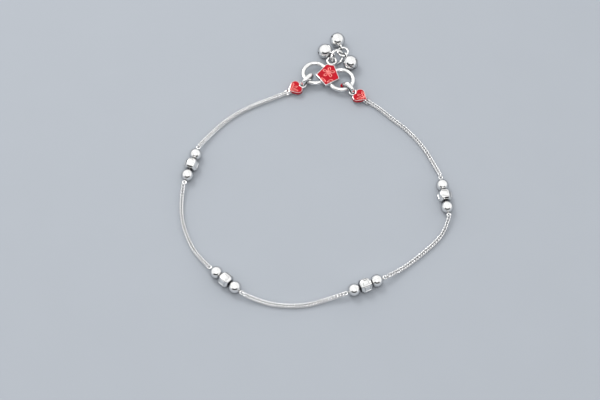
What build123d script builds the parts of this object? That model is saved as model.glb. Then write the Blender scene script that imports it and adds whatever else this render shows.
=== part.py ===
"""Silver payal anklet, fastened and lying on a level surface.

A loop of fine chain in five stretches, with groups of three beads between them, and at the back a clasp with
a red enamelled plate, two red enamelled hearts and three ghungroo bells. Millimetres, +Z up, X to the right,
Y from the front of the loop towards the clasp. The origin is the centre of the anklet's box, on the surface
that it lies on.
"""

import os
from math import asin, atan2, cos, hypot, pi, radians, sin, tan

from build123d import *

os.makedirs("parts", exist_ok=True)

# ---------------------------------------------------------------- driving dimensions

gap = 0.1                  # between pieces that a hand would find touching

# beads and their pins
round_bead_d = 3.9
cut_bead_flats = 4.0       # across two opposite facets
cut_bead_length = 3.55
cut_bead_facet = 2.05      # length of the main facets
cut_bead_end_flats = 2.85  # across the facets at each end face
cut_bead_ridge = 0.22      # cut off each ridge between facets
bead_bore = 0.7
pin_wire = 0.4
pin_eye_d = 1.5            # outer diameter of the eye at each end of a pin
pin_weld = 0.2             # how far its wire runs into the eyes
pin_height = cut_bead_flats / 2

# chain
chain_d = 1.3
chain_rest = chain_d / 2 + 0.02
chain_end_gap = 0.3        # from a pin's eye to the middle of the chain's end

# hearts: u runs from the heart's tip towards the clasp, v across it
heart_base = 0.8
heart_top = 2.1
heart_lobe_r = 1.5
heart_lobe_u = 3.1
heart_lobe_v = 0.95
heart_tip_r = 0.3
heart_rim = 0.2
enamel_depth = 0.3
enamel_gap = 0.03
crimp_height = 0.95
crimp_d = 1.86
crimp_bore = 1.5
crimp_front = -1.0         # an open trough reaches out before the heart's tip
crimp_back = 2.4
crimp_stop = 0.45          # where its bore ends
chain_lead = -4.5          # how far out the chain stays straight
eye_u = 5.4
eye_wire = 0.55
eye_r = 1.0                # from the eye's centre to its wire's centre
eye_height = 1.8
eye_neck = 1.0

# clasp
ring_wire = 1.45
ring_r = 3.98              # from a ring's centre to its wire's centre
ring_spread = 4.5          # from the clasp's centre to each ring's centre
ring_height = 2.0
plate_base = 2.3
plate_top = 3.4
plate_corner = 0.3
plate_rim = 0.22
plate_points = [(-1.35, 3.85), (1.35, 3.85), (3.92, -0.95), (0, -4.5), (-3.92, -0.95)]
small_loop_r = 1.44
small_loop_wire = 0.8
small_loop_reach = 6.1     # from the clasp's centre to the small loop's centre
small_loop_height = 2.5
small_loop_neck = 1.1

# oval loop and hook between the hearts and the rings
connector_wire = 1.15
connector_low = 0.585      # height of the wire's centre under the ring
connector_high = 3.415     # and over it
loop_run = 4.5             # between the loop's upright strands
hook_foot = 1.1            # length of the foot that turns back under the heart's eye
hook_over = 2.85           # where the hook starts down again
hook_tip_run = 2.0         # from there to its tip, seen from above
hook_tip_turn = 37.0       # and how far the tip turns to the left
hook_tip_height = 1.35
hook_bend = 1.0

# jump rings and bells
link_ring_r = 2.23
link_ring_height = 2.358
link_ring_lean = 53.1      # degrees from level, about the line between its two neighbours
link_inset = 0.3           # from the centre of the small loop to the wire that passes it
link_bell_angle = 116.7    # where the first bell hangs, from the side by the bell ring
jump_wire = 0.8
bell_ring_r = 1.66
bell_ring_height = 2.468
bell_ring_inset = 0.633
bell_d = 5.0
bell_wall = 0.4
bell_slit = 0.26
bell_slit_start = 0.8      # from the ball's centre towards the slit end
bell_slit_end_d = 0.7
bell_loop_r = 0.93
bell_loop_wire = 0.5
bell_loop_out = 3.3        # from the ball's centre to its loop's centre
bell_reach = 3.47          # from the ball's centre to the wire that it hangs on
pellet_d = 1.8

# ---------------------------------------------------------------- layout

clasp_x, clasp_y, clasp_heading = 4.15, 33.6, -17.0
plate_turn = 5.5           # of the plate on its rings
heart_left_tip = (-9.12, 28.07)
heart_left_heading = 26.0
heart_right_tip = (16.75, 24.54)
heart_right_heading = 147.0
loop_heading = 47.0
hook_heading = 128.0
link_heading = 44.08
bell_1_heading = 140.0
bell_2_heading = 110.86
bell_3_heading = -61.55

# one row for each group of beads: centre x, centre y, heading, first spacing, second spacing
bead_groups = [
    (-40.0, -0.6, -107.0, 4.1, 4.0),
    (-28.0, -41.6, -41.0, 3.85, 3.85),
    (14.8, -43.5, 24.0, 3.85, 3.85),
    (40.6, -12.1, 98.0, 4.05, 4.0),
]


def pin_eye_centre(spacing):
    """Distance from a group's centre to the centre of the pin's eye."""
    return spacing + round_bead_d / 2 + gap + pin_eye_d / 2


def point_along(start, heading, along, height):
    """The point at that distance from the start along a heading in degrees, and at that height."""
    return (start[0] + along * cos(radians(heading)), start[1] + along * sin(radians(heading)), height)


def on_group(group, along):
    """The point at that distance from the middle of a bead group along its pin."""
    return point_along(group[:2], group[2], along, pin_height)


def chain_before(group):
    """Where a stretch of chain ends, beside the first eye of a group."""
    return on_group(group, -pin_eye_centre(group[3]) - pin_eye_d / 2 - chain_end_gap)


def chain_after(group):
    """Where a stretch of chain starts, beside the last eye of a group."""
    return on_group(group, pin_eye_centre(group[4]) + pin_eye_d / 2 + chain_end_gap)


left_chain_end = point_along(heart_left_tip, heart_left_heading, crimp_stop - gap, crimp_height)
left_chain_lead = point_along(heart_left_tip, heart_left_heading, chain_lead, crimp_height)
right_chain_end = point_along(heart_right_tip, heart_right_heading, crimp_stop - gap, crimp_height)
right_chain_lead = point_along(heart_right_tip, heart_right_heading, chain_lead, crimp_height)

# the route of each stretch, as runs that tangent arcs join
chain_routes = {
    "chain_1": [
        left_chain_end,
        left_chain_lead,
        (-20.5, 23.1, chain_rest),
        (-27.6, 18.7, chain_rest),
        (-33.3, 13.1, chain_rest),
        chain_before(bead_groups[0]),
    ],
    "chain_2": [
        chain_after(bead_groups[0]),
        (-42.9, -13.5, chain_rest),
        (-42.3, -20.6, chain_rest),
        (-39.9, -27.6, chain_rest),
        (-37.2, -32.4, chain_rest),
        chain_before(bead_groups[1]),
    ],
    "chain_3": [
        chain_after(bead_groups[1]),
        (-17.4, -48.5, chain_rest),
        (-10.6, -49.9, chain_rest),
        (-3.4, -49.8, chain_rest),
        (2.6, -47.9, chain_rest),
        chain_before(bead_groups[2]),
    ],
    "chain_4": [
        chain_after(bead_groups[2]),
        (26.2, -37.6, chain_rest),
        (32.4, -32.4, chain_rest),
        (37.4, -27.7, chain_rest),
        (40.3, -23.8, chain_rest),
        chain_before(bead_groups[3]),
    ],
    "chain_5": [
        chain_after(bead_groups[3]),
        (37.9, 0.2, chain_rest),
        (34.9, 6.7, chain_rest),
        (30.0, 13.2, chain_rest),
        (24.3, 18.3, chain_rest),
        right_chain_lead,
        right_chain_end,
    ],
}


def bend_radii(runs):
    """For each corner, 0.45 of its shorter run divided by the tangent of half the turn."""
    radii = []
    for before, after in zip(runs, runs[1:]):
        half_turn = radians(before.get_angle(after)) / 2
        radii.append(0.45 * min(before.length, after.length) / tan(half_turn))
    return radii


def plane_across(origin, heading):
    """The upright plane across a heading at that point, its y axis up."""
    turn = radians(heading)
    return Plane(origin=origin, x_dir=(-sin(turn), cos(turn), 0), z_dir=(cos(turn), sin(turn), 0))


# ---------------------------------------------------------------- chain

for name, points in chain_routes.items():
    runs = [Vector(b) - Vector(a) for a, b in zip(points, points[1:])]
    radii = bend_radii(runs)
    with BuildPart() as chain:
        with BuildLine() as route:
            FilletPolyline(*points, radius=radii)
        with BuildSketch(Plane(origin=points[0], z_dir=runs[0])):
            Circle(chain_d / 2)
        sweep(path=route.wires()[0])
    chain.part.label = name
    export_step(chain.part, f"parts/{name}.step")
    swept_volume = pi * (chain_d / 2) ** 2 * route.wires()[0].length
    print(name, "radii", [round(radius, 1) for radius in radii])
    print(name, "runs", [round(run.length, 1) for run in runs])
    print(name, "volume over section times length", round(chain.part.volume / swept_volume, 4))

# ---------------------------------------------------------------- beads and pins

for number, group in enumerate(bead_groups, start=1):
    first, second = group[3], group[4]

    with BuildPart() as pin:
        pin_start = on_group(group, pin_eye_d / 2 - pin_eye_centre(first) - pin_weld)
        with BuildSketch(plane_across(pin_start, group[2])):
            Circle(pin_wire / 2)
        extrude(amount=pin_eye_centre(first) + pin_eye_centre(second) - pin_eye_d + 2 * pin_weld)
        for along in (-pin_eye_centre(first), pin_eye_centre(second)):
            with Locations(on_group(group, along)):
                Torus((pin_eye_d - pin_wire) / 2, pin_wire / 2)
    pin.part.label = f"bead_pin_{number}"
    export_step(pin.part, f"parts/bead_pin_{number}.step")

    for bead_number, along in ((2 * number - 1, -first), (2 * number, second)):
        with BuildPart() as bead:
            with Locations(on_group(group, along)):
                Sphere(round_bead_d / 2)
            with BuildSketch(plane_across(on_group(group, along), group[2])):
                Circle(bead_bore / 2)
            extrude(amount=round_bead_d, both=True, mode=Mode.SUBTRACT)
        bead.part.label = f"round_bead_{bead_number}"
        export_step(bead.part, f"parts/round_bead_{bead_number}.step")

    with BuildPart() as cut_bead:
        for along, flats in (
            (-cut_bead_length / 2, cut_bead_end_flats),
            (-cut_bead_facet / 2, cut_bead_flats),
            (cut_bead_facet / 2, cut_bead_flats),
            (cut_bead_length / 2, cut_bead_end_flats),
        ):
            with BuildSketch(plane_across(on_group(group, along), group[2])) as section:
                RegularPolygon(flats / 2, 6, major_radius=False)
                chamfer(section.vertices(), cut_bead_ridge * flats / cut_bead_flats)
        loft(ruled=True)
        with BuildSketch(plane_across(on_group(group, 0), group[2])):
            Circle(bead_bore / 2)
        extrude(amount=cut_bead_length, both=True, mode=Mode.SUBTRACT)
    cut_bead.part.label = f"cut_bead_{number}"
    export_step(cut_bead.part, f"parts/cut_bead_{number}.step")

# ---------------------------------------------------------------- hearts


def heart_outline(inset):
    """Two round lobes and the straight sides that meet at the tip, in the open sketch."""
    centre_distance = hypot(heart_lobe_u, heart_lobe_v)
    side_angle = atan2(heart_lobe_v, heart_lobe_u) + asin(heart_lobe_r / centre_distance)
    side = (centre_distance**2 - heart_lobe_r**2) ** 0.5
    shoulder_u = side * cos(side_angle) + inset * sin(side_angle)
    shoulder_v = side * sin(side_angle) - inset * cos(side_angle)
    with Locations((heart_lobe_u, heart_lobe_v), (heart_lobe_u, -heart_lobe_v)):
        Circle(heart_lobe_r - inset)
    Polygon(
        (inset / sin(side_angle), 0),
        (shoulder_u, -shoulder_v),
        (heart_lobe_u, -heart_lobe_v),
        (heart_lobe_u, heart_lobe_v),
        (shoulder_u, shoulder_v),
        align=None,
    )


for side, tip, heading in (
    ("left", heart_left_tip, heart_left_heading),
    ("right", heart_right_tip, heart_right_heading),
):
    turn = radians(heading)
    heart_plane = Plane(origin=(*tip, 0), x_dir=(cos(turn), sin(turn), 0))
    crimp_plane = plane_across(point_along(tip, heading, crimp_front, crimp_height), heading)

    with BuildPart() as heart:
        with BuildSketch(heart_plane.offset(heart_base)) as outline:
            heart_outline(0)
            fillet(outline.vertices().sort_by(Axis.X)[0], heart_tip_r)
        extrude(amount=heart_top - heart_base)
        with BuildSketch(crimp_plane):
            Circle(crimp_d / 2)
        extrude(amount=crimp_back - crimp_front)
        with BuildSketch(crimp_plane):
            Circle(crimp_bore / 2)
        extrude(amount=crimp_stop - crimp_front, mode=Mode.SUBTRACT)
        with BuildSketch(crimp_plane):
            Rectangle(2 * crimp_d, crimp_d, align=(Align.CENTER, Align.MIN))
        extrude(amount=-crimp_front, mode=Mode.SUBTRACT)
        with BuildSketch(heart_plane.offset(eye_height - eye_wire / 2)):
            with Locations(((heart_lobe_u + eye_u - eye_r) / 2, 0)):
                Rectangle(eye_u - eye_r - heart_lobe_u, eye_neck)
        extrude(amount=eye_wire)
        with Locations(point_along(tip, heading, eye_u, eye_height)):
            Torus(eye_r, eye_wire / 2)
        with BuildSketch(heart_plane.offset(heart_top)):
            heart_outline(heart_rim)
        extrude(amount=-enamel_depth, mode=Mode.SUBTRACT)
    heart.part.label = f"heart_frame_{side}"
    export_step(heart.part, f"parts/heart_frame_{side}.step")

    with BuildPart() as enamel:
        with BuildSketch(heart_plane.offset(heart_top - enamel_gap)):
            heart_outline(heart_rim + enamel_gap)
        extrude(amount=2 * enamel_gap - enamel_depth)
    enamel.part.label = f"heart_enamel_{side}"
    export_step(enamel.part, f"parts/heart_enamel_{side}.step")

# ---------------------------------------------------------------- clasp


def level_plane(heading, height):
    """A level plane over the clasp's centre, its x axis at that heading."""
    turn = radians(heading)
    return Plane(origin=(clasp_x, clasp_y, height), x_dir=(cos(turn), sin(turn), 0))


plate_heading = clasp_heading + plate_turn
small_loop_centre = point_along((clasp_x, clasp_y), plate_heading + 90, small_loop_reach, small_loop_height)
plate_short_edge = plate_points[0][1]
neck_length = small_loop_reach - small_loop_r - plate_short_edge
neck_overlap = 0.2         # how far the small loop's neck runs into the plate's edge

with BuildPart() as clasp:
    for way in (-1, 1):
        with Locations(level_plane(clasp_heading, ring_height).location * Pos(way * ring_spread, 0, 0)):
            Torus(ring_r, ring_wire / 2)
    with BuildSketch(level_plane(plate_heading, plate_base)) as plate:
        Polygon(*plate_points, align=None)
        fillet(plate.vertices(), plate_corner)
    extrude(amount=plate_top - plate_base)
    with BuildSketch(level_plane(plate_heading, small_loop_height - small_loop_wire / 2)):
        with Locations((0, plate_short_edge - neck_overlap)):
            Rectangle(small_loop_neck, neck_length + neck_overlap, align=(Align.CENTER, Align.MIN))
    extrude(amount=small_loop_wire)
    with Locations(small_loop_centre):
        Torus(small_loop_r, small_loop_wire / 2)
    with BuildSketch(level_plane(plate_heading, plate_top)):
        Polygon(*plate_points, align=None)
        offset(amount=-plate_rim, kind=Kind.INTERSECTION, mode=Mode.REPLACE)
    extrude(amount=-enamel_depth, mode=Mode.SUBTRACT)
clasp.part.label = "clasp_frame"
export_step(clasp.part, "parts/clasp_frame.step")

with BuildPart() as clasp_enamel:
    with BuildSketch(level_plane(plate_heading, plate_top - enamel_gap)):
        Polygon(*plate_points, align=None)
        offset(amount=-plate_rim - enamel_gap, kind=Kind.INTERSECTION, mode=Mode.REPLACE)
    extrude(amount=2 * enamel_gap - enamel_depth)
clasp_enamel.part.label = "clasp_enamel"
export_step(clasp_enamel.part, "parts/clasp_enamel.step")

# ---------------------------------------------------------------- oval loop and hook


def upright_plane(origin, heading):
    """An upright plane at that point, its x axis at that heading and its y axis up."""
    turn = radians(heading)
    return Plane(origin=origin, x_dir=(cos(turn), sin(turn), 0), z_dir=(sin(turn), -cos(turn), 0))


left_eye = point_along(heart_left_tip, heart_left_heading, eye_u, 0)
right_eye = point_along(heart_right_tip, heart_right_heading, eye_u, 0)
loop_start = (connector_high - connector_low) / 2
loop_end = loop_run - loop_start
loop_middle = (connector_high + connector_low) / 2

with BuildPart() as clasp_loop:
    with BuildLine(upright_plane(left_eye, loop_heading)) as loop_path:
        Line((loop_start, connector_low), (loop_end, connector_low))
        ThreePointArc((loop_end, connector_low), (loop_run, loop_middle), (loop_end, connector_high))
        Line((loop_end, connector_high), (loop_start, connector_high))
        ThreePointArc((loop_start, connector_high), (0, loop_middle), (loop_start, connector_low))
    with BuildSketch(Plane(origin=loop_path.line @ 0, z_dir=loop_path.line % 0)):
        Circle(connector_wire / 2)
    sweep(path=loop_path.wires()[0])
clasp_loop.part.label = "clasp_loop"
export_step(clasp_loop.part, "parts/clasp_loop.step")

hook_crest = point_along(right_eye, hook_heading, hook_over, connector_high)

with BuildPart() as clasp_hook:
    with BuildLine() as hook_path:
        FilletPolyline(
            point_along(right_eye, hook_heading, hook_foot, connector_low),
            point_along(right_eye, hook_heading, 0, connector_low),
            point_along(right_eye, hook_heading, 0, connector_high),
            hook_crest,
            point_along(hook_crest, hook_heading + hook_tip_turn, hook_tip_run, hook_tip_height),
            radius=hook_bend,
        )
    with BuildSketch(Plane(origin=hook_path.line @ 0, z_dir=hook_path.line % 0)):
        Circle(connector_wire / 2)
    sweep(path=hook_path.wires()[0])
clasp_hook.part.label = "clasp_hook"
export_step(clasp_hook.part, "parts/clasp_hook.step")

# ---------------------------------------------------------------- jump rings

small_loop = Vector(*small_loop_centre)
along_link = Vector(cos(radians(link_heading)), sin(radians(link_heading)), 0)
across_link = Vector(-sin(radians(link_heading)), cos(radians(link_heading)), 0)
link_rise = across_link * cos(radians(link_ring_lean)) + Vector(0, 0, 1) * sin(radians(link_ring_lean))
link_centre = small_loop + along_link * (link_inset + link_ring_r)
link_centre.Z = link_ring_height
bell_ring_centre = link_centre + along_link * (link_ring_r + bell_ring_inset)
bell_ring_centre.Z = bell_ring_height

link_plane = Plane(origin=link_centre, x_dir=along_link, z_dir=along_link.cross(link_rise))

for name, plane, ring_radius in (
    ("link_ring", link_plane, link_ring_r),
    ("bell_ring", Plane(origin=bell_ring_centre), bell_ring_r),
):
    with BuildPart() as jump_ring:
        with Locations(plane):
            Torus(ring_radius, jump_wire / 2)
    jump_ring.part.label = name
    export_step(jump_ring.part, f"parts/{name}.step")

# ---------------------------------------------------------------- bells


def on_bell_ring(heading):
    """A point on the bell ring's wire, and the wire's direction there."""
    turn = radians(heading)
    point = bell_ring_centre + Vector(cos(turn), sin(turn), 0) * bell_ring_r
    return point, Vector(-sin(turn), cos(turn), 0)


def on_link_ring(angle):
    """A point on the link ring's wire, and the wire's direction there."""
    turn = radians(angle)
    point = link_centre + (along_link * cos(turn) + link_rise * sin(turn)) * link_ring_r
    return point, link_rise * cos(turn) - along_link * sin(turn)


bells = [
    (1, *on_link_ring(link_bell_angle), bell_1_heading),
    (2, *on_bell_ring(bell_2_heading), bell_2_heading),
    (3, *on_bell_ring(bell_3_heading), bell_3_heading),
]

for number, hold, wire_direction, heading in bells:
    drop = hold.Z - bell_d / 2
    level = (bell_reach**2 - drop**2) ** 0.5
    centre = hold + Vector(cos(radians(heading)), sin(radians(heading)), 0) * level
    centre.Z = bell_d / 2
    towards_hold = (hold - centre).normalized()
    loop_normal = wire_direction - towards_hold * wire_direction.dot(towards_hold)
    slit_plane = Plane(origin=centre, x_dir=loop_normal, z_dir=-towards_hold)
    slit_floor = slit_plane.offset(bell_slit_start)

    with BuildPart() as bell:
        with Locations(slit_plane):
            Sphere(bell_d / 2)
            Sphere(bell_d / 2 - bell_wall, mode=Mode.SUBTRACT)
        with BuildSketch(slit_floor):
            Rectangle(bell_d, bell_slit, rotation=45)
            Rectangle(bell_d, bell_slit, rotation=-45)
        extrude(amount=bell_d / 2, mode=Mode.SUBTRACT)
        for slit_angle in (45, 135, 225, 315):
            with BuildSketch(Plane(slit_floor.location * Rot(0, 0, slit_angle) * Rot(0, 90, 0))):
                Circle(bell_slit_end_d / 2)
            extrude(amount=bell_d / 2, mode=Mode.SUBTRACT)
        with Locations(Plane(origin=centre + towards_hold * bell_loop_out, z_dir=loop_normal)):
            Torus(bell_loop_r, bell_loop_wire / 2)
    bell.part.label = f"bell_{number}"
    export_step(bell.part, f"parts/bell_{number}.step")

    with BuildPart() as pellet:
        with Locations(centre - Vector(0, 0, (bell_d - pellet_d) / 2 - bell_wall - gap)):
            Sphere(pellet_d / 2)
    pellet.part.label = f"bell_pellet_{number}"
    export_step(pellet.part, f"parts/bell_pellet_{number}.step")
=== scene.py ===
"""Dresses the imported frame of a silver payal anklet: link chain, beads, hearts, clasp, bells and enamel.

Everything is in metres, in the frame's own axes: +Z up, +Y from the front of the loop towards the clasp.
The sizes and places of the object are written in millimetres and turned into metres with mm(). The frame's
nodes stay as they are. A piece that shows more than its node, such as the links of a chain, replaces it.
"""

from math import atan2, cos, degrees, pi, radians, sin

import bmesh
import bpy
from mathutils import Matrix, Vector


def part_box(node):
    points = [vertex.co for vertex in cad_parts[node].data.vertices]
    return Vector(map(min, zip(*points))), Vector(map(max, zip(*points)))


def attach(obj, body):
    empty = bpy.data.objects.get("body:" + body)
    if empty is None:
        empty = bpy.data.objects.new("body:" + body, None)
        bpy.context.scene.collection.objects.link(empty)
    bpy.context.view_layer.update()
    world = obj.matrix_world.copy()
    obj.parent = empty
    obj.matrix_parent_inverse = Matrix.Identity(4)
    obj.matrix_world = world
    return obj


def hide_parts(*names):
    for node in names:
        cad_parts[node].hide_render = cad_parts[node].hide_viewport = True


bl_info = {
    "name": "Payal Anklet",
    "version": (1, 0, 0),
    "blender": (4, 5, 0),
    "location": "View3D > Sidebar > Anklet",
    "description": "Dresses an anklet's frame with link chain, beads, bells, red enamel and polished silver",
    "category": "Add Mesh",
}

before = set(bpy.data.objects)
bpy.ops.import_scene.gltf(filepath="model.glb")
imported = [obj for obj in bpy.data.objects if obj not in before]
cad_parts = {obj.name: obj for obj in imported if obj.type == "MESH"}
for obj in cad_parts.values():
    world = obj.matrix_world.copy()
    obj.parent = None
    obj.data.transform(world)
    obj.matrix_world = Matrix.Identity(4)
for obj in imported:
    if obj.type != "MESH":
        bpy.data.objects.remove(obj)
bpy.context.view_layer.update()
BODY = "root"

# Down to the stage, the sizes and places are in millimetres, and the headings in degrees from +X towards +Y.

# Each stretch of chain lies along these points between its two ends, seen from above, and at this height.
CHAIN_ROUTES = {
    "chain_1": [(-20.5, 23.1), (-27.6, 18.7), (-33.3, 13.1)],
    "chain_2": [(-42.9, -13.5), (-42.3, -20.6), (-39.9, -27.6), (-37.2, -32.4)],
    "chain_3": [(-17.4, -48.5), (-10.6, -49.9), (-3.4, -49.8), (2.6, -47.9)],
    "chain_4": [(26.2, -37.6), (32.4, -32.4), (37.4, -27.7), (40.3, -23.8)],
    "chain_5": [(37.9, 0.2), (34.9, 6.7), (30.0, 13.2), (24.3, 18.3)],
}
CHAIN_REST = 0.67

# One link: its pitch, its wire and the play round it, and how far a stretch's last link reaches on.
LINK_PITCH = 0.95
LINK_WIRE = 0.28
LINK_GAP = 0.02
LINK_REACH = 0.45

# The beads' groups: the numbers of their first and last round bead, in order round the loop.
BEAD_GROUPS = ((1, 2), (3, 4), (5, 6), (7, 8))
BEAD_BORE = 0.7

# The eyes at the ends of a beads' pin: their outer diameter, their wire, and their gap to the bead.
PIN_EYE = 1.5
PIN_WIRE = 0.4
PIN_GAP = 0.1

# A cut bead: its facets' length along the bore, the rounding between them, and the groove round each
# facet, in steps of (width, depth). Its ends go out from the facets in steps of (rise, scale), and are
# then inset for the bore.
FACET_LENGTH = 2.05
FACET_CORNER = 0.24
FACET_GROOVE = ((0.1, 0.0), (0.09, -0.14), (0.09, 0.1))
CUT_BEAD_END = (
    (0.0, 0.955),
    (0.04, 1.0),
    (0.0, 1.03),
    (0.24, 0.95),
    (0.24, 0.88),
    (0.15, 0.88),
    (0.08, 0.98),
)
END_INSET = 0.45

# Hearts: the tip's place, and the heading from the tip to the clasp. A heart's crimp, eye and petals lie
# at these distances along that line. The petals are (heading, start, length, width).
HEARTS = {"left": ((-9.12, 28.07), 26.0), "right": ((16.75, 24.54), 147.0)}
HEART_TOP = 2.1
HEART_PETALS = ((0.0, 0.2, 2.5, 0.95), (38.0, 0.2, 2.5, 0.8), (-38.0, 0.2, 2.5, 0.8))
PETALS_ALONG = 0.7
HEART_RELIEF_WIRE = 0.2
CRIMP_HEIGHT = 0.95
CRIMP_LEAD = -4.5
CRIMP_IN = 0.3
EYE_ALONG = 5.4

# The clasp's plate: its centre and heading, and the height of its top. Its flower and leaves grow from
# points this far up from the centre, and a petal and a leaf are (start, length, width).
PLATE_CENTRE = (4.15, 33.6)
PLATE_HEADING = -11.5
PLATE_TOP = 3.4
PLATE_RELIEF_WIRE = 0.25
FLOWER_UP = 0.7
FLOWER_EYE = 0.3
FLOWER_PETAL = (0.42, 1.6, 1.05)
LEAVES_UP = -3.4
LEAF_HEADINGS = (36.0, 144.0)
LEAF = (0.3, 2.1, 0.85)

# The enamel stands a little over its recess, spreads on the rim by a scale and domes by a rise, in steps
# of (inset, share of the rise). On the hearts it has also run down the wall outside, as a skirt.
HEART_RISE, HEART_SPREAD = 0.1, 1.055
PLATE_RISE, PLATE_SPREAD = 0.11, 1.03
DOME_STEPS = ((0.12, 0.55), (0.2, 0.3), (0.3, 0.15))
RUN_HEIGHT = 0.04
RUN_THICKNESS = 0.02
SKIRT_OUT = 0.27
SKIRT_DOWN = 0.8

# The oval loop and the hook stand on edge at these headings. Their lines are (along, across, height, swell).
CONNECTOR_WIRE = 1.15
LOOP_HEADING = 47.0
LOOP_LENGTH = 4.5
LOOP_LOW, LOOP_HIGH = 0.585, 3.415
LOOP_SWELL = 1.35
HOOK_HEADING = 128.0
HOOK_LINE = [
    (1.1, 0.0, 0.585, 0.9),
    (0.0, 0.0, 0.585, 1.0),
    (0.0, 0.0, 3.46, 1.1),
    (1.8, 0.0, 3.58, 1.3),
    (2.85, 0.05, 3.5, 1.3),
    (3.75, 0.6, 2.6, 1.1),
    (4.4, 1.16, 1.4, 0.85),
]

# The red ball on the hook's tip: its radius, how much longer it is along the wire, and the share of the
# hook's last stretch that its centre sits back from the end.
TIP_RADIUS = 0.68
TIP_STRETCH = 1.35
TIP_BACK = 0.35

# A jump ring's cut in radians, and how far its two ends are out of line across the ring.
RING_CUT = 0.024
RING_SHIFT = 0.06

# The bells: their radius, the seam round them and the foot under their loop, which is a flattened ball.
BELL_RADIUS = 2.5
SEAM_SUNK = 0.02
SEAM_WIRE = 0.07
FOOT_RADIUS = 0.8
FOOT_FLATTENED = 0.3
FOOT_SUNK = 0.0375

# The silver mirrors less at its edges. Tarnish and painted shade darken its narrow hollows, and painted
# shade darkens its wider ones and its sides below.
# A hollow is darkest where it is this closed in, and has faded out where it is this open.
CLOSED_IN, OPEN = 0.25, 0.75
EDGE_TINT = (0.25, 0.25, 0.27)
TARNISH_AND_SHADE_COLOUR, TARNISH_AND_SHADE_REACH = (0.12, 0.11, 0.1), 0.35
SHADE_COLOUR, SHADE_REACH = (0.12, 0.12, 0.14), 1.6
ENAMEL_SHADE_COLOUR, ENAMEL_SHADE_REACH = (0.12, 0.0, 0.003), 0.5
# The chain's silver is painted lighter than the other silver, as painted light on its shaded links.
LIGHTENED_CHAIN_SILVER = (1.0, 0.995, 0.99)
STEEL = (0.5, 0.5, 0.5)

# The stage, in metres: the lights are (name, place, size, watts), all aimed at the origin.
LIGHTS = (
    ("key_light", (-0.25, 0.35, 0.55), 0.30, 1.5),
    ("front_light", (0.03, -0.30, 0.75), 0.22, 0.9),
)
FLOOR_RADIUS = 3.0
FLOOR_HEIGHT = -0.00002
VIEW_TARGET = (-0.0052, -0.0124, 0.0)

# The studio's sky at the horizon and from a little above it, and the dark screen in front, which the
# silver mirrors.
HORIZON_COLOUR = (0.34, 0.36, 0.4, 1.0)
SKY_COLOUR = (0.98, 0.99, 1.0, 1.0)
SKY_FROM = 0.12
SKY_STRENGTH = 1.08
SCREEN_COLOUR = (0.012, 0.012, 0.016, 1.0)


def mm(*values):
    """Millimetres as metres: one number, or a tuple of them."""
    metres = tuple(value * 0.001 for value in values)
    return metres[0] if len(metres) == 1 else metres


# ---------------------------------------------------------------- sizes and colours


class PAYAL_PG_chain(bpy.types.PropertyGroup):
    """Sizes of the fox-tail link chain"""

    link_pitch: bpy.props.FloatProperty(
        name="Pitch",
        description="Distance from one link to the next",
        default=mm(LINK_PITCH),
        min=mm(0.85),
        max=mm(1.1),
        subtype="DISTANCE",
        unit="LENGTH",
        precision=5,
    )
    link_wire: bpy.props.FloatProperty(
        name="Link wire",
        description="Diameter of the wire of a link",
        default=mm(LINK_WIRE),
        min=mm(0.15),
        max=mm(0.32),
        subtype="DISTANCE",
        unit="LENGTH",
        precision=5,
    )


class PAYAL_PG_metal(bpy.types.PropertyGroup):
    """Colours and polish of the silver and the enamel"""

    silver_colour: bpy.props.FloatVectorProperty(
        name="Silver",
        description="Colour of the polished silver",
        default=(0.93, 0.925, 0.91),
        size=3,
        min=0.0,
        max=1.0,
        subtype="COLOR",
    )
    silver_roughness: bpy.props.FloatProperty(
        name="Silver roughness",
        description="How much the polish on the beads, bells and rings scatters light",
        default=0.1,
        min=0.0,
        max=1.0,
        subtype="FACTOR",
    )
    enamel_colour: bpy.props.FloatVectorProperty(
        name="Enamel",
        description="Colour of the fired red enamel",
        default=(0.5, 0.0005, 0.012),
        size=3,
        min=0.0,
        max=1.0,
        subtype="COLOR",
    )
    relief_colour: bpy.props.FloatVectorProperty(
        name="Relief",
        description="Colour of the fine raised lines that stand out of the enamel",
        default=(1.0, 0.36, 0.32),
        size=3,
        min=0.0,
        max=1.0,
        subtype="COLOR",
    )


class PAYAL_PG_stage(bpy.types.PropertyGroup):
    """The floor, the lights and the camera"""

    floor_colour: bpy.props.FloatVectorProperty(
        name="Floor",
        description="Colour of the plain floor",
        default=(0.38, 0.405, 0.44),
        size=3,
        min=0.0,
        max=1.0,
        subtype="COLOR",
    )
    camera_elevation: bpy.props.FloatProperty(
        name="Camera height",
        description="Angle of the camera's view above the floor",
        default=radians(60.5),
        min=0.0,
        max=radians(90),
        subtype="ANGLE",
        unit="ROTATION",
    )
    camera_distance: bpy.props.FloatProperty(
        name="Camera distance",
        description="From the camera to the middle of its view on the floor",
        default=0.45,
        min=0.1,
        max=2.0,
        subtype="DISTANCE",
        unit="LENGTH",
    )


# ---------------------------------------------------------------- helpers


def select_only(*pieces):
    """Selects these objects and makes the first the active one."""
    if bpy.context.object and bpy.context.object.mode != "OBJECT":
        bpy.ops.object.mode_set(mode="OBJECT")
    bpy.ops.object.select_all(action="DESELECT")
    for piece in pieces:
        piece.select_set(True)
    bpy.context.view_layer.objects.active = pieces[0]


def place_in_mesh(piece, matrix=None):
    """Moves a piece by the matrix and puts its whole place in its mesh."""
    if matrix is not None:
        piece.matrix_world = matrix @ piece.matrix_world
    select_only(piece)
    bpy.ops.object.transform_apply(location=True, rotation=True, scale=True)


def choose(piece, kind, wanted):
    """In edit mode, selects the vertices, edges or faces for which wanted is true."""
    bpy.ops.mesh.select_mode(type=kind)
    bpy.ops.mesh.select_all(action="DESELECT")
    mesh = bmesh.from_edit_mesh(piece.data)
    for element in {"VERT": mesh.verts, "EDGE": mesh.edges, "FACE": mesh.faces}[kind]:
        element.select_set(wanted(element))
    mesh.select_flush_mode()
    bmesh.update_edit_mesh(piece.data)


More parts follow.
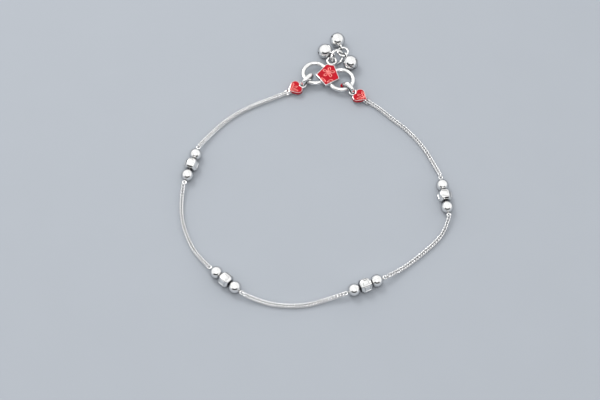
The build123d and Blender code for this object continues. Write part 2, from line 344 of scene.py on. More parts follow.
def add_modifier(piece, kind, **settings):
    """Adds a modifier with these settings and applies it."""
    select_only(piece)
    bpy.ops.object.modifier_add(type=kind)
    modifier = piece.modifiers[-1]
    for name, value in settings.items():
        setattr(modifier, name, value)
    bpy.ops.object.modifier_apply(modifier=modifier.name)


def rounded(piece, edge, segments, angle):
    """Rounds the edges of a piece that are sharper than the angle, to that width in millimetres."""
    add_modifier(
        piece,
        "BEVEL",
        width=mm(edge),
        segments=segments,
        limit_method="ANGLE",
        angle_limit=radians(angle),
    )


def smooth(piece, angle=30.0):
    """Shades a piece smooth, but for edges sharper than the angle."""
    select_only(piece)
    bpy.ops.object.shade_smooth_by_angle(angle=radians(angle))


def smooth_all(piece):
    """Shades a piece smooth all over."""
    select_only(piece)
    bpy.ops.object.shade_smooth()


def join(*pieces):
    """Joins pieces into the first."""
    select_only(*pieces)
    bpy.ops.object.join()
    return pieces[0]


def copy_of(piece):
    """A copy of a piece with its own mesh."""
    select_only(piece)
    bpy.ops.object.duplicate(linked=False)
    return bpy.context.object


def finish_piece(piece, name, material, slot, *nodes):
    """Names a piece, gives it its finish and body, and hides the nodes it stands for. The slot is not used.
    """
    place_in_mesh(piece)
    piece.name = name
    piece.data.name = name
    piece.data.materials.clear()
    piece.data.materials.append(material)
    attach(piece, BODY)
    if nodes:
        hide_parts(*nodes)


def node_centre(name):
    """The centre of a node's box."""
    low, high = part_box(name)
    return (low + high) / 2


def solid_copy(node):
    """A copy of a node's solid as one closed mesh, its flat faces whole."""
    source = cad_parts[node]
    piece = bpy.data.objects.new(node + "_copy", source.data.copy())
    bpy.context.scene.collection.objects.link(piece)
    select_only(piece)
    bpy.ops.object.mode_set(mode="EDIT")
    bpy.ops.mesh.select_all(action="SELECT")
    bpy.ops.mesh.remove_doubles(threshold=mm(0.0005))
    bpy.ops.mesh.dissolve_limited(angle_limit=radians(0.5))
    bpy.ops.object.mode_set(mode="OBJECT")
    return piece


def wire(points, diameter, closed=False, sides=8, steps=4, swell=None):
    """A bent wire as a mesh, along a smooth line by these points. Only the points are in millimetres.

    Swell gives how many times its diameter it has at each point.
    """
    bpy.ops.object.select_all(action="DESELECT")
    bpy.ops.curve.primitive_nurbs_path_add()
    piece = bpy.context.object
    curve = piece.data
    curve.splines.clear()
    spline = curve.splines.new("NURBS")
    spline.points.add(len(points) - 1)
    for point, place, share in zip(spline.points, points, swell or [1.0] * len(points)):
        point.co = (*mm(*place), 1.0)
        point.radius = share
    spline.order_u = 3
    spline.use_cyclic_u = closed
    spline.use_endpoint_u = not closed
    spline.resolution_u = steps
    curve.resolution_u = steps
    curve.twist_mode = "MINIMUM"
    curve.bevel_depth = diameter / 2
    curve.bevel_resolution = (sides - 4) // 2
    curve.use_fill_caps = not closed
    bpy.ops.object.convert(target="MESH")
    return bpy.context.object


# ---------------------------------------------------------------- finishes


def new_material(name):
    """A material with its shader, and functions that add a node and a link to it."""
    material = bpy.data.materials.new(name)
    material.use_nodes = True
    tree = material.node_tree
    shader = next(node for node in tree.nodes if node.type == "BSDF_PRINCIPLED")

    def add(kind, **settings):
        node = tree.nodes.new(kind)
        for key, value in settings.items():
            if hasattr(node, key):
                setattr(node, key, value)
            else:
                node.inputs[key.replace("_", " ")].default_value = value
        return node

    return material, shader, add, tree.links.new


def noise(add, link, scale, detail=3.0):
    """Noise on the object's own coordinates."""
    place = add("ShaderNodeTexCoord")
    pattern = add("ShaderNodeTexNoise", Scale=scale, Detail=detail)
    link(place.outputs["Object"], pattern.inputs["Vector"])
    return pattern.outputs["Fac"]


def clouded(add, link, pattern, colour, darkest, start=0.0, end=1.0):
    """The colour where the pattern is at its end value, down to a share of it at its start value."""
    tone = add("ShaderNodeValToRGB")
    low, high = tone.color_ramp.elements
    low.position = start
    low.color = (*(part * darkest for part in colour), 1.0)
    high.position = end
    high.color = (*colour, 1.0)
    link(pattern, tone.inputs["Fac"])
    return tone.outputs["Color"]


def uneven(add, link, pattern, strength, depth):
    """The normal of a barely uneven surface that follows the pattern, its depth in millimetres."""
    bump = add("ShaderNodeBump", Strength=strength, Distance=mm(depth))
    link(pattern, bump.inputs["Height"])
    return bump.outputs["Normal"]


def darker_in_hollows(add, link, colour, dark, strength, reach):
    """The colour, mixed towards a dark one where other surfaces stand within reach."""
    hollow = add("ShaderNodeAmbientOcclusion", samples=8, Distance=mm(reach))
    depth = add("ShaderNodeMapRange", clamp=True)
    depth.inputs["From Min"].default_value = CLOSED_IN
    depth.inputs["From Max"].default_value = OPEN
    depth.inputs["To Min"].default_value = strength
    depth.inputs["To Max"].default_value = 0.0
    link(hollow.outputs["AO"], depth.inputs["Value"])
    mix = add("ShaderNodeMix", data_type="RGBA")
    factor, first, second = (socket for socket in mix.inputs if socket.enabled)
    link(depth.outputs["Result"], factor)
    link(colour, first)
    second.default_value = (*dark, 1.0)
    return next(socket for socket in mix.outputs if socket.enabled)


def silver_finish(name, colour, roughness, tarnish_and_shade=0.0, shade=0.0):
    """Silver with darker edges, faint clouds in its colour and its polish, and fine hairlines.

    The tarnish and shade strengths say how dark tarnish with painted shade makes its narrow hollows, and how
    dark painted shade makes its wider ones.
    """
    material, shader, add, link = new_material(name)
    shader.inputs["Metallic"].default_value = 1.0
    shader.inputs["Specular Tint"].default_value = (*EDGE_TINT, 1.0)

    surface = clouded(add, link, noise(add, link, 900.0), colour, darkest=0.93, start=0.35, end=0.65)
    # Tarnish and painted shade darken the narrow hollows.
    if tarnish_and_shade:
        surface = darker_in_hollows(add, link, surface, TARNISH_AND_SHADE_COLOUR, tarnish_and_shade, TARNISH_AND_SHADE_REACH)
    # Painted shade darkens the wider hollows and the sides below.
    if shade:
        surface = darker_in_hollows(add, link, surface, SHADE_COLOUR, shade, SHADE_REACH)
    link(surface, shader.inputs["Base Color"])

    polish = add("ShaderNodeMapRange", clamp=True)
    polish.inputs["To Min"].default_value = roughness * 0.7
    polish.inputs["To Max"].default_value = roughness * 1.5
    link(noise(add, link, 2200.0), polish.inputs["Value"])
    link(polish.outputs["Result"], shader.inputs["Roughness"])

    hairlines = noise(add, link, 5000.0, detail=6.0)
    link(uneven(add, link, hairlines, strength=0.12, depth=0.02), shader.inputs["Normal"])
    return material


def enamel_finish(name, colour):
    """Fired enamel: a little darker in clouds and hollows, with a thin clear coat and a faint ripple."""
    material, shader, add, link = new_material(name)
    shader.inputs["Roughness"].default_value = 0.3
    shader.inputs["Coat Weight"].default_value = 0.25
    shader.inputs["Coat Roughness"].default_value = 0.04
    shader.inputs["Specular IOR Level"].default_value = 0.1

    surface = clouded(add, link, noise(add, link, 700.0), colour, darkest=0.72, start=0.3, end=0.7)
    surface = darker_in_hollows(add, link, surface, ENAMEL_SHADE_COLOUR, 0.6, ENAMEL_SHADE_REACH)
    link(surface, shader.inputs["Base Color"])

    ripple = noise(add, link, 1100.0, detail=1.0)
    link(uneven(add, link, ripple, strength=0.25, depth=0.05), shader.inputs["Normal"])
    return material


def floor_finish(name, colour):
    """A plain matt floor with a barely visible mottle."""
    material, shader, add, link = new_material(name)
    shader.inputs["Roughness"].default_value = 0.9
    shader.inputs["Specular IOR Level"].default_value = 0.15
    mottle = noise(add, link, 60.0)
    link(clouded(add, link, mottle, colour, darkest=0.97), shader.inputs["Base Color"])
    return material


def finish_of(name):
    """A finish by its name, made when it is first asked for."""
    if name in bpy.data.materials:
        return bpy.data.materials[name]
    metal = bpy.context.scene.payal_metal
    silver = tuple(metal.silver_colour)
    roughness = metal.silver_roughness
    makers = {
        "polished silver": lambda: silver_finish(name, silver, roughness, shade=0.7),
        "worked silver": lambda: silver_finish(name, silver, roughness * 1.3, tarnish_and_shade=0.6, shade=0.7),
        "chain silver": lambda: silver_finish(name, LIGHTENED_CHAIN_SILVER, roughness * 1.6, tarnish_and_shade=0.85),
        "steel shot": lambda: silver_finish(name, STEEL, 0.35),
        "red enamel": lambda: enamel_finish(name, tuple(metal.enamel_colour)),
        "enamelled relief": lambda: silver_finish(name, tuple(metal.relief_colour), 0.25),
    }
    return makers[name]()


# ---------------------------------------------------------------- places


def bead_line(first, last):
    """The centres of a group's first and last round bead, and the direction from one to the other."""
    start = node_centre(f"round_bead_{first}")
    end = node_centre(f"round_bead_{last}")
    return start, end, (end - start).normalized()


def pin_eye(number, side):
    """The centre of a pin's eye, before its beads (side -1) or after them (side 1), and the way out."""
    first, last = BEAD_GROUPS[number - 1]
    start, end, along = bead_line(first, last)
    out = along * side
    bead = end if side > 0 else start
    low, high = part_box(f"round_bead_{first}")
    return bead + out * ((high.z - low.z) / 2 + mm(PIN_GAP + PIN_EYE / 2)), out


def heart_point(side, along, height):
    """A point at that distance from a heart's tip towards the clasp, in millimetres."""
    (x, y), heading = HEARTS[side]
    return (x + along * cos(radians(heading)), y + along * sin(radians(heading)), height)


def stand_at(x, y, z, heading):
    """The matrix that takes a piece made at the origin to a place in millimetres and a heading."""
    return Matrix.Translation(mm(x, y, z)) @ Matrix.Rotation(radians(heading), 4, "Z")


# ---------------------------------------------------------------- chain


def link_points():
    """The line of one link's wire: a double tail across the chain, and two loops that reach on."""
    upper = [
        (0.05, 0.49, 0.15),
        (0.19, 0.52, 0.36),
        (0.62, 0.41, 0.46),
        (0.78, 0.36, 0.48),
        (1.14, 0.16, 0.48),
    ]
    tip = (1.44, 0.16, 0.0)
    loop = [(0.0, 0.27, 0.16), *upper, tip]
    loop += [(x, y, -z) for x, y, z in reversed(loop[:-1])]
    left = [(0.0, 0.0, 0.16), *loop, (0.0, 0.0, -0.16)]
    right = [(x, -y, z) for x, y, z in reversed(loop)]
    return left + right


def chain_ends(number):
    """The points that a stretch starts and ends with, in a heart's crimp or at a pin eye's wire."""
    if number == 1:
        start = [
            heart_point("left", CRIMP_IN, CRIMP_HEIGHT),
            heart_point("left", CRIMP_LEAD, CRIMP_HEIGHT),
        ]
    else:
        eye, out = pin_eye(number - 1, 1)
        start = [tuple(eye * 1000 + out * (PIN_EYE / 2 + LINK_GAP + LINK_WIRE / 2))]
    if number == 5:
        end = [
            heart_point("right", CRIMP_LEAD, CRIMP_HEIGHT),
            heart_point("right", CRIMP_IN - LINK_REACH, CRIMP_HEIGHT),
        ]
    else:
        eye, out = pin_eye(number, -1)
        end = [tuple(eye * 1000 + out * (PIN_EYE - PIN_WIRE) / 2)]
    return start, end


def chain_route(number):
    """The line that a stretch of chain lies along, as a curve object."""
    start, end = chain_ends(number)
    inner = [(x, y, CHAIN_REST) for x, y in CHAIN_ROUTES[f"chain_{number}"]]
    points = start + inner + end
    bpy.ops.object.select_all(action="DESELECT")
    bpy.ops.curve.primitive_nurbs_path_add()
    route = bpy.context.object
    route.data.splines.clear()
    spline = route.data.splines.new("NURBS")
    spline.points.add(len(points) - 1)
    for point, place in zip(spline.points, points):
        point.co = (*mm(*place), 1.0)
    spline.order_u = 3
    spline.use_endpoint_u = True
    route.data.resolution_u = 24
    spline.resolution_u = 24
    route.data.twist_mode = "Z_UP"
    return route


def chain_links(number, sizes):
    """One stretch of chain: a link, repeated along its route a whole number of times."""
    route = chain_route(number)
    length = route.data.splines[0].calc_length()
    count = round(length / sizes.link_pitch)
    pitch = length / count
    links = wire(link_points(), sizes.link_wire, closed=True, sides=6, steps=1)
    links.scale.x = pitch / mm(LINK_PITCH)
    place_in_mesh(links)
    add_modifier(
        links,
        "ARRAY",
        count=count,
        use_relative_offset=False,
        use_constant_offset=True,
        constant_offset_displace=(pitch, 0.0, 0.0),
    )
    add_modifier(links, "CURVE", object=route, deform_axis="POS_X")
    bpy.data.objects.remove(route)
    smooth_all(links)
    name = f"chain_links_{number}"
    finish_piece(links, name, finish_of("chain silver"), "chain_silver", f"chain_{number}")


def end_ring(number, link_wire):
    """The link that ties the eye after a bead group to the chain that starts there."""
    near = PIN_EYE / 2 - PIN_WIRE - LINK_GAP - LINK_WIRE / 2
    far = PIN_EYE / 2 + 2 * LINK_GAP + LINK_WIRE * 1.5
    middle = (near + far) / 2
    side, corner, top = 0.14, 0.42, 0.46
    upper = [(near, 0, side), (near, 0, corner), (middle, 0, top), (far, 0, corner), (far, 0, side)]
    lower = [(x, y, -z) for x, y, z in reversed(upper)]
    ring = wire(upper + lower, link_wire, closed=True)
    eye, out = pin_eye(number, 1)
    place_in_mesh(ring, stand_at(*(eye * 1000), degrees(atan2(out.y, out.x))))
    smooth_all(ring)
    finish_piece(ring, f"end_ring_{number}", finish_of("chain silver"), "chain_silver")


class PAYAL_OT_chain(bpy.types.Operator):
    """Links each stretch of fox-tail chain from end to end, and hooks it to the beads' eyes"""

    bl_idname = "payal.chain"
    bl_label = "Link chain"

    def execute(self, context):
        sizes = context.scene.payal_chain
        for number in range(1, len(CHAIN_ROUTES) + 1):
            chain_links(number, sizes)
        for number in range(1, len(BEAD_GROUPS) + 1):
            end_ring(number, sizes.link_wire)
        return {"FINISHED"}


# ---------------------------------------------------------------- beads


def round_bead(diameter, bore):
    """One drilled ball about the origin, its bore along X, with rolled rims."""
    bpy.ops.object.select_all(action="DESELECT")
    bpy.ops.mesh.primitive_uv_sphere_add(segments=48, ring_count=32, radius=diameter / 2)
    bead = bpy.context.object
    bpy.ops.object.mode_set(mode="EDIT")

    # The rows round each pole are cut away, a little wider than the bore, and the rim is turned in.
    cut_away = bore * 0.62
    choose(bead, "VERT", lambda v: Vector(v.co[:2]).length < cut_away)
    bpy.ops.mesh.delete(type="VERT")
    bpy.ops.mesh.select_all(action="DESELECT")
    bpy.ops.mesh.select_mode(type="EDGE")
    bpy.ops.mesh.select_non_manifold()
    mesh = bmesh.from_edit_mesh(bead.data)
    rim = max(Vector(v.co[:2]).length for v in mesh.verts if v.select)
    bpy.ops.mesh.extrude_edges_move()
    shrink = bore / 2 / rim
    bpy.ops.transform.resize(value=(shrink, shrink, 1.0))
    bpy.ops.mesh.bridge_edge_loops()
    bpy.ops.mesh.select_all(action="SELECT")
    bpy.ops.mesh.normals_make_consistent(inside=False)
    bpy.ops.object.mode_set(mode="OBJECT")
    rounded(bead, edge=0.05, segments=3, angle=35)
    bead.rotation_euler = (0.0, pi / 2, 0.0)
    place_in_mesh(bead)
    smooth(bead, 40)
    return bead


def cut_bead(flats, facet, bore):
    """One diamond-cut bead about the origin, its bore along X, six facets round it, one on top."""
    bpy.ops.object.select_all(action="DESELECT")
    bpy.ops.mesh.primitive_cylinder_add(vertices=6, radius=flats / 2 / cos(pi / 6), depth=facet)
    bead = bpy.context.object
    place_in_mesh(bead)
    bpy.ops.object.mode_set(mode="EDIT")
    choose(bead, "EDGE", lambda e: abs(e.verts[0].co.z - e.verts[1].co.z) > facet / 2)
    bpy.ops.mesh.bevel(offset=mm(FACET_CORNER), offset_type="OFFSET", segments=3)

    # A fine groove is cut round each facet, inside its bright edge. Only the facets are this large.
    choose(bead, "FACE", lambda f: abs(f.normal.z) < 0.1 and f.calc_area() > mm(1.0) ** 2)
    for thickness, depth in FACET_GROOVE:
        bpy.ops.mesh.inset(thickness=mm(thickness), depth=mm(depth), use_individual=True)

    # Out from the facets to each end: a cut line, a rounded row of end facets, and a small flat end.
    for end in (1, -1):
        choose(bead, "FACE", lambda f: f.normal.z * end > 0.99)
        for rise, scale in CUT_BEAD_END:
            step = mm(0.0, 0.0, rise * end)
            bpy.ops.mesh.extrude_region_move(TRANSFORM_OT_translate={"value": step})
            bpy.ops.transform.resize(value=(scale, scale, 1.0))
        bpy.ops.mesh.inset(thickness=mm(END_INSET))
        mesh = bmesh.from_edit_mesh(bead.data)
        reach = max(Vector(v.co[:2]).length for v in mesh.verts if v.select)
        shrink = bore / 2 / reach
        bpy.ops.transform.resize(value=(shrink, shrink, 1.0))
        bpy.ops.mesh.delete(type="FACE")
    bpy.ops.mesh.select_mode(type="EDGE")
    bpy.ops.mesh.select_all(action="DESELECT")
    bpy.ops.mesh.select_non_manifold()
    bpy.ops.mesh.bridge_edge_loops()
    bpy.ops.mesh.select_all(action="SELECT")
    bpy.ops.mesh.normals_make_consistent(inside=False)
    bpy.ops.object.mode_set(mode="OBJECT")
    rounded(bead, edge=0.035, segments=2, angle=18)
    bead.rotation_euler = (0.0, pi / 2, 0.0)
    place_in_mesh(bead)
    smooth(bead, 25)
    return bead


def thread(model, node, turn, prefix, finish):
    """A copy of a bead in its node's place, turned along its pin."""
    bead = copy_of(model)
    place_in_mesh(bead, Matrix.Translation(node_centre(node)) @ turn)
    finish_piece(bead, prefix + node, finish_of(finish), "polished_silver", node)


class PAYAL_OT_beads(bpy.types.Operator):
    """Makes the round and the diamond-cut beads, and threads them on their pins"""

    bl_idname = "payal.beads"
    bl_label = "Thread beads"

    def execute(self, context):
        low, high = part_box("round_bead_1")
        ball = round_bead(high.z - low.z, mm(BEAD_BORE))
        low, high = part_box("cut_bead_1")
        barrel = cut_bead(high.z - low.z, mm(FACET_LENGTH), mm(BEAD_BORE))
        for number, (first, last) in enumerate(BEAD_GROUPS, start=1):
            along = bead_line(first, last)[-1]
            turn = Matrix.Rotation(atan2(along.y, along.x), 4, "Z")
            thread(ball, f"round_bead_{first}", turn, "polished_", "polished silver")
            thread(ball, f"round_bead_{last}", turn, "polished_", "polished silver")
            thread(barrel, f"cut_bead_{number}", turn, "faceted_", "worked silver")
        for model in (ball, barrel):
            bpy.data.objects.remove(model)
        return {"FINISHED"}


# ---------------------------------------------------------------- hearts, plate and their relief


def petal(x, y, heading, start, length, width):
    """A closed petal that grows from near a point towards a heading, and is fuller at its far end."""
    turn = radians(heading)
    points = []
    for step in range(10):
        angle = 2 * pi * step / 10
        share = (1 - cos(angle)) / 2
        along = start + length * share
        across = width / 2 * sin(angle) * (0.5 + 0.5 * share)
        over = along * cos(turn) - across * sin(turn)
        up = along * sin(turn) + across * cos(turn)
        points.append((x + over, y + up, 0.0))
    return points


def ring_points(x, y, radius, count=8):
    """A closed round of points."""
    angles = [2 * pi * step / count for step in range(count)]
    return [(x + radius * cos(angle), y + radius * sin(angle), 0.0) for angle in angles]


def relief(lines, diameter, matrix, name):
    """Fine raised outlines in one piece."""
    wires = [wire(points, diameter, closed=True, steps=3) for points in lines]
    piece = join(*wires)
    place_in_mesh(piece, matrix)
    smooth_all(piece)
    finish_piece(piece, name, finish_of("enamelled relief"), "polished_silver")


def enamel_skirt(node):
    """Enamel that has run over the rim and down the wall outside."""
    piece = solid_copy(node)
    bpy.ops.object.mode_set(mode="EDIT")
    choose(piece, "FACE", lambda f: abs(f.normal.z) < 0.1)
    bpy.ops.transform.shrink_fatten(value=mm(SKIRT_OUT), use_even_offset=True)
    choose(piece, "FACE", lambda f: f.normal.z < -0.99)
    bpy.ops.transform.translate(value=mm(0.0, 0.0, -SKIRT_DOWN))
    bpy.ops.object.mode_set(mode="OBJECT")
    rounded(piece, edge=0.12, segments=3, angle=50)
    return piece


def domed_enamel(node, name, rise, spread, skirt=False):
    """Enamel that fills its recess, runs a little way over the rim and domes."""
    piece = solid_copy(node)
    bpy.ops.object.mode_set(mode="EDIT")
    choose(piece, "FACE", lambda f: f.normal.z > 0.99)
    bpy.ops.mesh.extrude_region_move(TRANSFORM_OT_translate={"value": mm(0.0, 0.0, RUN_HEIGHT)})
    bpy.ops.mesh.extrude_region_move()
    bpy.ops.transform.resize(value=(spread, spread, 1.0))
    bpy.ops.mesh.extrude_region_move(TRANSFORM_OT_translate={"value": mm(0.0, 0.0, RUN_THICKNESS)})
    for inset, share in DOME_STEPS:
        bpy.ops.mesh.inset(thickness=mm(inset))
        bpy.ops.transform.translate(value=mm(0.0, 0.0, rise * share))
    bpy.ops.object.mode_set(mode="OBJECT")
    if skirt:
        piece = join(piece, enamel_skirt(node))
    smooth(piece, 50)
    finish_piece(piece, name, finish_of("red enamel"), "red_enamel", node)


def rounded_metal(node, name, edge):
    """A cast or soldered piece: its node's shape with every edge rounded."""
    piece = solid_copy(node)
    rounded(piece, edge, segments=2, angle=32)
    smooth(piece, 35)
    finish_piece(piece, name, finish_of("worked silver"), "polished_silver", node)


class PAYAL_OT_hearts(bpy.types.Operator):
    """Rounds the two hearts' frames, fills them with enamel and adds their raised petals"""

    bl_idname = "payal.hearts"
    bl_label = "Enamel hearts"

    def execute(self, context):
        for side, ((x, y), heading) in HEARTS.items():
            rounded_metal(f"heart_frame_{side}", f"cast_heart_{side}", edge=0.06)
            domed_enamel(
                f"heart_enamel_{side}", f"fired_heart_{side}", HEART_RISE, HEART_SPREAD, skirt=True
            )
            lines = [petal(PETALS_ALONG, 0.0, *sizes) for sizes in HEART_PETALS]
            place = stand_at(x, y, HEART_TOP + HEART_RISE, heading)
            relief(lines, mm(HEART_RELIEF_WIRE), place, f"heart_relief_{side}")
        return {"FINISHED"}


def flower_lines():
    """The plate's relief: five petals round an eye, and two leaves below."""
    lines = [petal(0.0, FLOWER_UP, 90 + 72 * number, *FLOWER_PETAL) for number in range(5)]
    lines.append(ring_points(0.0, FLOWER_UP, FLOWER_EYE))
    lines += [petal(0.0, LEAVES_UP, heading, *LEAF) for heading in LEAF_HEADINGS]
    return lines


def loop_line():
    """The oval loop's line: two round ends, and a top that is thicker where it lies over the ring."""
    radius = (LOOP_HIGH - LOOP_LOW) / 2
    middle = (LOOP_HIGH + LOOP_LOW) / 2
    reach = radius / cos(pi / 8)
    lift = (LOOP_SWELL - 1) * CONNECTOR_WIRE / 2
    line = []
    for step in range(8):
        angle = -3 * pi / 8 + step * pi / 4
        along = LOOP_LENGTH - radius if step < 4 else radius
        height = middle + reach * sin(angle)
        if height > middle + radius / 2:
            line.append((along + reach * cos(angle), 0.0, height + lift, LOOP_SWELL))
        else:
            line.append((along + reach * cos(angle), 0.0, height, 1.0))
    line.insert(4, (LOOP_LENGTH / 2, 0.0, LOOP_HIGH + lift, LOOP_SWELL))
    return line


def connector(side, heading, line, closed, name, node):
    """The loop or the hook: a wire on edge through a heart's eye, thicker where it lies over a ring."""
    points = [place[:3] for place in line]
    swell = [place[3] for place in line]
    piece = wire(points, mm(CONNECTOR_WIRE), closed, sides=20, steps=6, swell=swell)
    place_in_mesh(piece, stand_at(*heart_point(side, EYE_ALONG, 0.0), heading))
    smooth(piece, 50)
    finish_piece(piece, name, finish_of("polished silver"), "polished_silver", node)


def hook_tip():
    """The ball of red enamel round the hook's free end, longer along the wire."""
    before, end = (Vector(mm(*place[:3])) for place in HOOK_LINE[-2:])
    bpy.ops.object.select_all(action="DESELECT")
    bpy.ops.mesh.primitive_uv_sphere_add(segments=32, ring_count=16, radius=mm(TIP_RADIUS))
    tip = bpy.context.object
    tip.scale = (1.0, 1.0, TIP_STRETCH)
    tip.rotation_mode = "QUATERNION"
    tip.rotation_quaternion = (end - before).to_track_quat("Z", "Y")
    tip.location = end.lerp(before, TIP_BACK)
    place_in_mesh(tip)
    place_in_mesh(tip, stand_at(*heart_point("right", EYE_ALONG, 0.0), HOOK_HEADING))
    smooth(tip)
    finish_piece(tip, "hook_tip_enamel", finish_of("red enamel"), "red_enamel")


class PAYAL_OT_clasp(bpy.types.Operator):
    """Rounds the clasp's rings and plate, enamels the plate with its flower, and bends the loop and hook"""

    bl_idname = "payal.clasp"
    bl_label = "Enamel clasp"

    def execute(self, context):
        rounded_metal("clasp_frame", "soldered_clasp", edge=0.09)
        domed_enamel("clasp_enamel", "fired_plate", PLATE_RISE, PLATE_SPREAD)
        place = stand_at(*PLATE_CENTRE, PLATE_TOP + PLATE_RISE, PLATE_HEADING)
        relief(flower_lines(), mm(PLATE_RELIEF_WIRE), place, "plate_relief")
        connector("left", LOOP_HEADING, loop_line(), True, "soldered_loop", "clasp_loop")
        connector("right", HOOK_HEADING, HOOK_LINE, False, "bent_hook", "clasp_hook")
        hook_tip()
        return {"FINISHED"}


# ---------------------------------------------------------------- bells


def jump_ring(node, name, towards):
    """A ring of bent wire in its node's place, its cut ends meeting on the side of that direction."""
    centre = node_centre(node)
    places = (v.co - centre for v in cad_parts[node].data.vertices)
    points = sorted(places, key=lambda place: place.length)
    inner, outer = points[0].length, points[-1].length
    crosses = (points[-1].cross(place) for place in points)
    normal = max(crosses, key=lambda cross: cross.length).normalized()
    ahead = (Vector(towards) - normal * normal.dot(Vector(towards))).normalized()
    steps = 20
    radius = (inner + outer) / 2 * 1000 / cos(pi / steps)
    line = []
    for step in range(steps + 1):
        share = step / steps
        turn = RING_CUT / 2 + (2 * pi - RING_CUT) * share
        line.append((radius * cos(turn), radius * sin(turn), RING_SHIFT * (share - 0.5)))
    ring = wire(line, outer - inner, sides=16, steps=3)
    axes = Matrix((ahead, normal.cross(ahead), normal)).transposed().to_4x4()
    place_in_mesh(ring, Matrix.Translation(centre) @ axes)
    smooth(ring, 50)
    finish_piece(ring, name, finish_of("polished silver"), "polished_silver", node)


def turned_by(piece, place, axis):
    """Moves a piece made at the origin to a place, its Z along the axis."""
    turn = axis.to_track_quat("Z", "Y").to_matrix().to_4x4()
    place_in_mesh(piece, Matrix.Translation(place) @ turn)


def bell_trim(number):
    """A bell's seam and the foot under its loop, which is all of the bell that reaches off its ball."""
    radius = mm(BELL_RADIUS)
    pellet = node_centre(f"bell_pellet_{number}")
    centre = Vector((pellet.x, pellet.y, radius))
    points = [v.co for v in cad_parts[f"bell_{number}"].data.vertices]
    loop = [point for point in points if (point - centre).length > radius * 1.04]
    out = (sum(loop, Vector()) / len(loop) - centre).normalized()

    bpy.ops.object.select_all(action="DESELECT")
    bpy.ops.mesh.primitive_uv_sphere_add(segments=32, ring_count=12, radius=mm(FOOT_RADIUS))
    foot = bpy.context.object
    foot.scale = (1.0, 1.0, FOOT_FLATTENED)
    place_in_mesh(foot)
    turned_by(foot, centre + out * mm(BELL_RADIUS - FOOT_SUNK), out)

    line = ring_points(0.0, 0.0, BELL_RADIUS - SEAM_SUNK, 32)
    seam = wire(line, mm(SEAM_WIRE), closed=True, sides=6, steps=2)
    turned_by(seam, centre, out)

    trim = join(foot, seam)
    smooth(trim)
    finish_piece(trim, f"bell_trim_{number}", finish_of("worked silver"), "polished_silver")


class PAYAL_OT_bells(bpy.types.Operator):
    """Rounds the bells' slits, adds their seams and loop feet, and bends the two rings that hold them"""

    bl_idname = "payal.bells"
    bl_label = "Finish bells"

    def execute(self, context):
        jump_ring("link_ring", "bent_link_ring", (0.0, 0.0, 1.0))
        jump_ring("bell_ring", "bent_bell_ring", (0.3, -1.0, 0.0))
        for number in range(1, 4):
            rounded_metal(f"bell_{number}", f"ghungroo_{number}", edge=0.05)
            bell_trim(number)
        return {"FINISHED"}


class PAYAL_OT_finishes(bpy.types.Operator):
    """Gives every node of the frame a finish, which shows on the pins and the pellets"""

    bl_idname = "payal.finishes"
    bl_label = "Polish the frame"

    def execute(self, context):
        for name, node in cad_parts.items():
            finish = "red enamel" if "enamel" in name else "polished silver"
            if "pellet" in name:
                finish = "steel shot"
            node.data.materials.clear()
            node.data.materials.append(finish_of(finish))
        return {"FINISHED"}


# ---------------------------------------------------------------- stage


def lay_floor(colour):
    """The plain floor, a hair below the object."""
    bpy.ops.object.select_all(action="DESELECT")
    bpy.ops.mesh.primitive_circle_add(
        vertices=96, radius=FLOOR_RADIUS, fill_type="NGON", location=(0.0, 0.0, FLOOR_HEIGHT)
    )
    floor = bpy.context.object
    place_in_mesh(floor)
    floor.name = "floor"
    floor.data.materials.append(floor_finish("floor", colour))


def add_light(name, place, size, power):
    """A round soft light, aimed at the origin."""
    aim = (-Vector(place)).to_track_quat("-Z", "Y")
    bpy.ops.object.light_add(type="AREA", location=place, rotation=aim.to_euler())
    light = bpy.context.object
    light.name = name
    light.data.shape = "DISK"
    light.data.size = size
    light.data.energy = power


def studio_world(scene):
    """A soft bright sky, dimmer at the horizon, with a dark screen low in front."""
    world = bpy.data.worlds.new("studio")
    world.use_nodes = True
    scene.world = world
    nodes, link = world.node_tree.nodes, world.node_tree.links.new
    background = next(node for node in nodes if node.type == "BACKGROUND")
    direction = nodes.new("ShaderNodeTexCoord")
    parts = nodes.new("ShaderNodeSeparateXYZ")
    link(direction.outputs["Generated"], parts.inputs["Vector"])
    toward_clasp, height = parts.outputs["Y"], parts.outputs["Z"]

    sky = nodes.new("ShaderNodeValToRGB")
    low, high = sky.color_ramp.elements
    low.position = 0.0
    low.color = HORIZON_COLOUR
    high.position = SKY_FROM
    high.color = SKY_COLOUR
    link(height, sky.inputs["Fac"])

    def falloff(source, start, end):
        """One where the source is past the end, and nothing where it is before the start."""
        step = nodes.new("ShaderNodeMapRange")
        step.interpolation_type = "SMOOTHSTEP"
        step.inputs["From Min"].default_value = start
        step.inputs["From Max"].default_value = end
        link(source, step.inputs["Value"])
        return step.outputs["Result"]

    def product(first, second):
        """Both values multiplied."""
        both = nodes.new("ShaderNodeMath")
        both.operation = "MULTIPLY"
        link(first, both.inputs[0])
        link(second, both.inputs[1])
        return both.outputs["Value"]

    # The screen stands in front and fades out at its sides, its top and its foot.
    in_front = falloff(toward_clasp, -0.45, -0.68)
    below_top = falloff(height, 0.62, 0.5)
    above_foot = falloff(height, 0.08, 0.18)
    screen = nodes.new("ShaderNodeMix")
    screen.data_type = "RGBA"
    factor, first, second = (socket for socket in screen.inputs if socket.enabled)
    link(product(in_front, product(below_top, above_foot)), factor)
    link(sky.outputs["Color"], first)
    second.default_value = SCREEN_COLOUR
    link(next(socket for socket in screen.outputs if socket.enabled), background.inputs["Color"])
    background.inputs["Strength"].default_value = SKY_STRENGTH


def set_camera(scene, elevation, distance):
    """The camera, in front of the loop and looking down on it from that angle."""
    back = Vector((0.0, -cos(elevation), sin(elevation)))
    bpy.ops.object.camera_add(
        location=Vector(VIEW_TARGET) + back * distance, rotation=(pi / 2 - elevation, 0.0, 0.0)
    )
    camera = bpy.context.object
    camera.data.lens = 85.0
    camera.data.sensor_width = 36.0
    camera.data.clip_start = 0.01
    scene.camera = camera
    scene.view_settings.view_transform = "Standard"


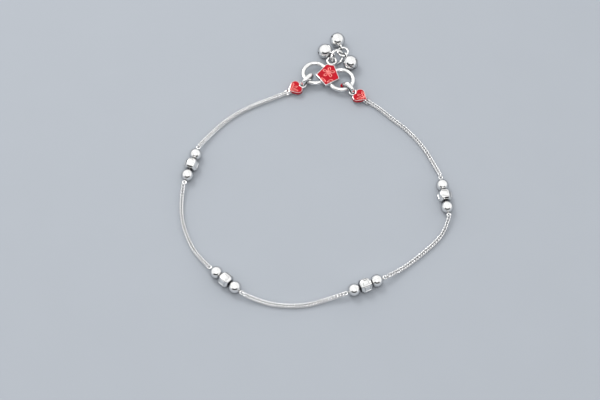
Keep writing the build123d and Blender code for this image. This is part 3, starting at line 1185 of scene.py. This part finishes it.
class PAYAL_OT_stage(bpy.types.Operator):
    """Lays the pale floor, lights it softly and sets the camera above the front of the loop"""

    bl_idname = "payal.stage"
    bl_label = "Set the stage"

    def execute(self, context):
        stage = context.scene.payal_stage
        lay_floor(tuple(stage.floor_colour))
        for light in LIGHTS:
            add_light(*light)
        studio_world(context.scene)
        set_camera(context.scene, stage.camera_elevation, stage.camera_distance)
        return {"FINISHED"}


# ---------------------------------------------------------------- panel and registration


class PAYAL_PT_anklet(bpy.types.Panel):
    """The anklet's sizes, colours and pieces"""

    bl_idname = "PAYAL_PT_anklet"
    bl_label = "Payal anklet"
    bl_space_type = "VIEW_3D"
    bl_region_type = "UI"
    bl_category = "Anklet"

    def draw(self, context):
        layout = self.layout
        for group in (context.scene.payal_chain, context.scene.payal_metal, context.scene.payal_stage):
            for name in group.__annotations__:
                layout.prop(group, name)
        for operator in OPERATORS:
            layout.operator(operator.bl_idname)


OPERATORS = (
    PAYAL_OT_finishes,
    PAYAL_OT_chain,
    PAYAL_OT_beads,
    PAYAL_OT_hearts,
    PAYAL_OT_clasp,
    PAYAL_OT_bells,
    PAYAL_OT_stage,
)
GROUPS = (PAYAL_PG_chain, PAYAL_PG_metal, PAYAL_PG_stage)
CLASSES = (*GROUPS, *OPERATORS, PAYAL_PT_anklet)


def register():
    """Registers the classes and hangs the sizes and colours on the scene."""
    for cls in CLASSES:
        bpy.utils.register_class(cls)
    bpy.types.Scene.payal_chain = bpy.props.PointerProperty(type=PAYAL_PG_chain)
    bpy.types.Scene.payal_metal = bpy.props.PointerProperty(type=PAYAL_PG_metal)
    bpy.types.Scene.payal_stage = bpy.props.PointerProperty(type=PAYAL_PG_stage)


def unregister():
    """Takes the sizes and colours off the scene and unregisters the classes."""
    del bpy.types.Scene.payal_stage
    del bpy.types.Scene.payal_metal
    del bpy.types.Scene.payal_chain
    for cls in reversed(CLASSES):
        bpy.utils.unregister_class(cls)


def main():
    """Makes every piece in order."""
    register()
    bpy.ops.payal.finishes()
    bpy.ops.payal.chain()
    bpy.ops.payal.beads()
    bpy.ops.payal.hearts()
    bpy.ops.payal.clasp()
    bpy.ops.payal.bells()
    bpy.ops.payal.stage()


if __name__ == "__main__":
    main()
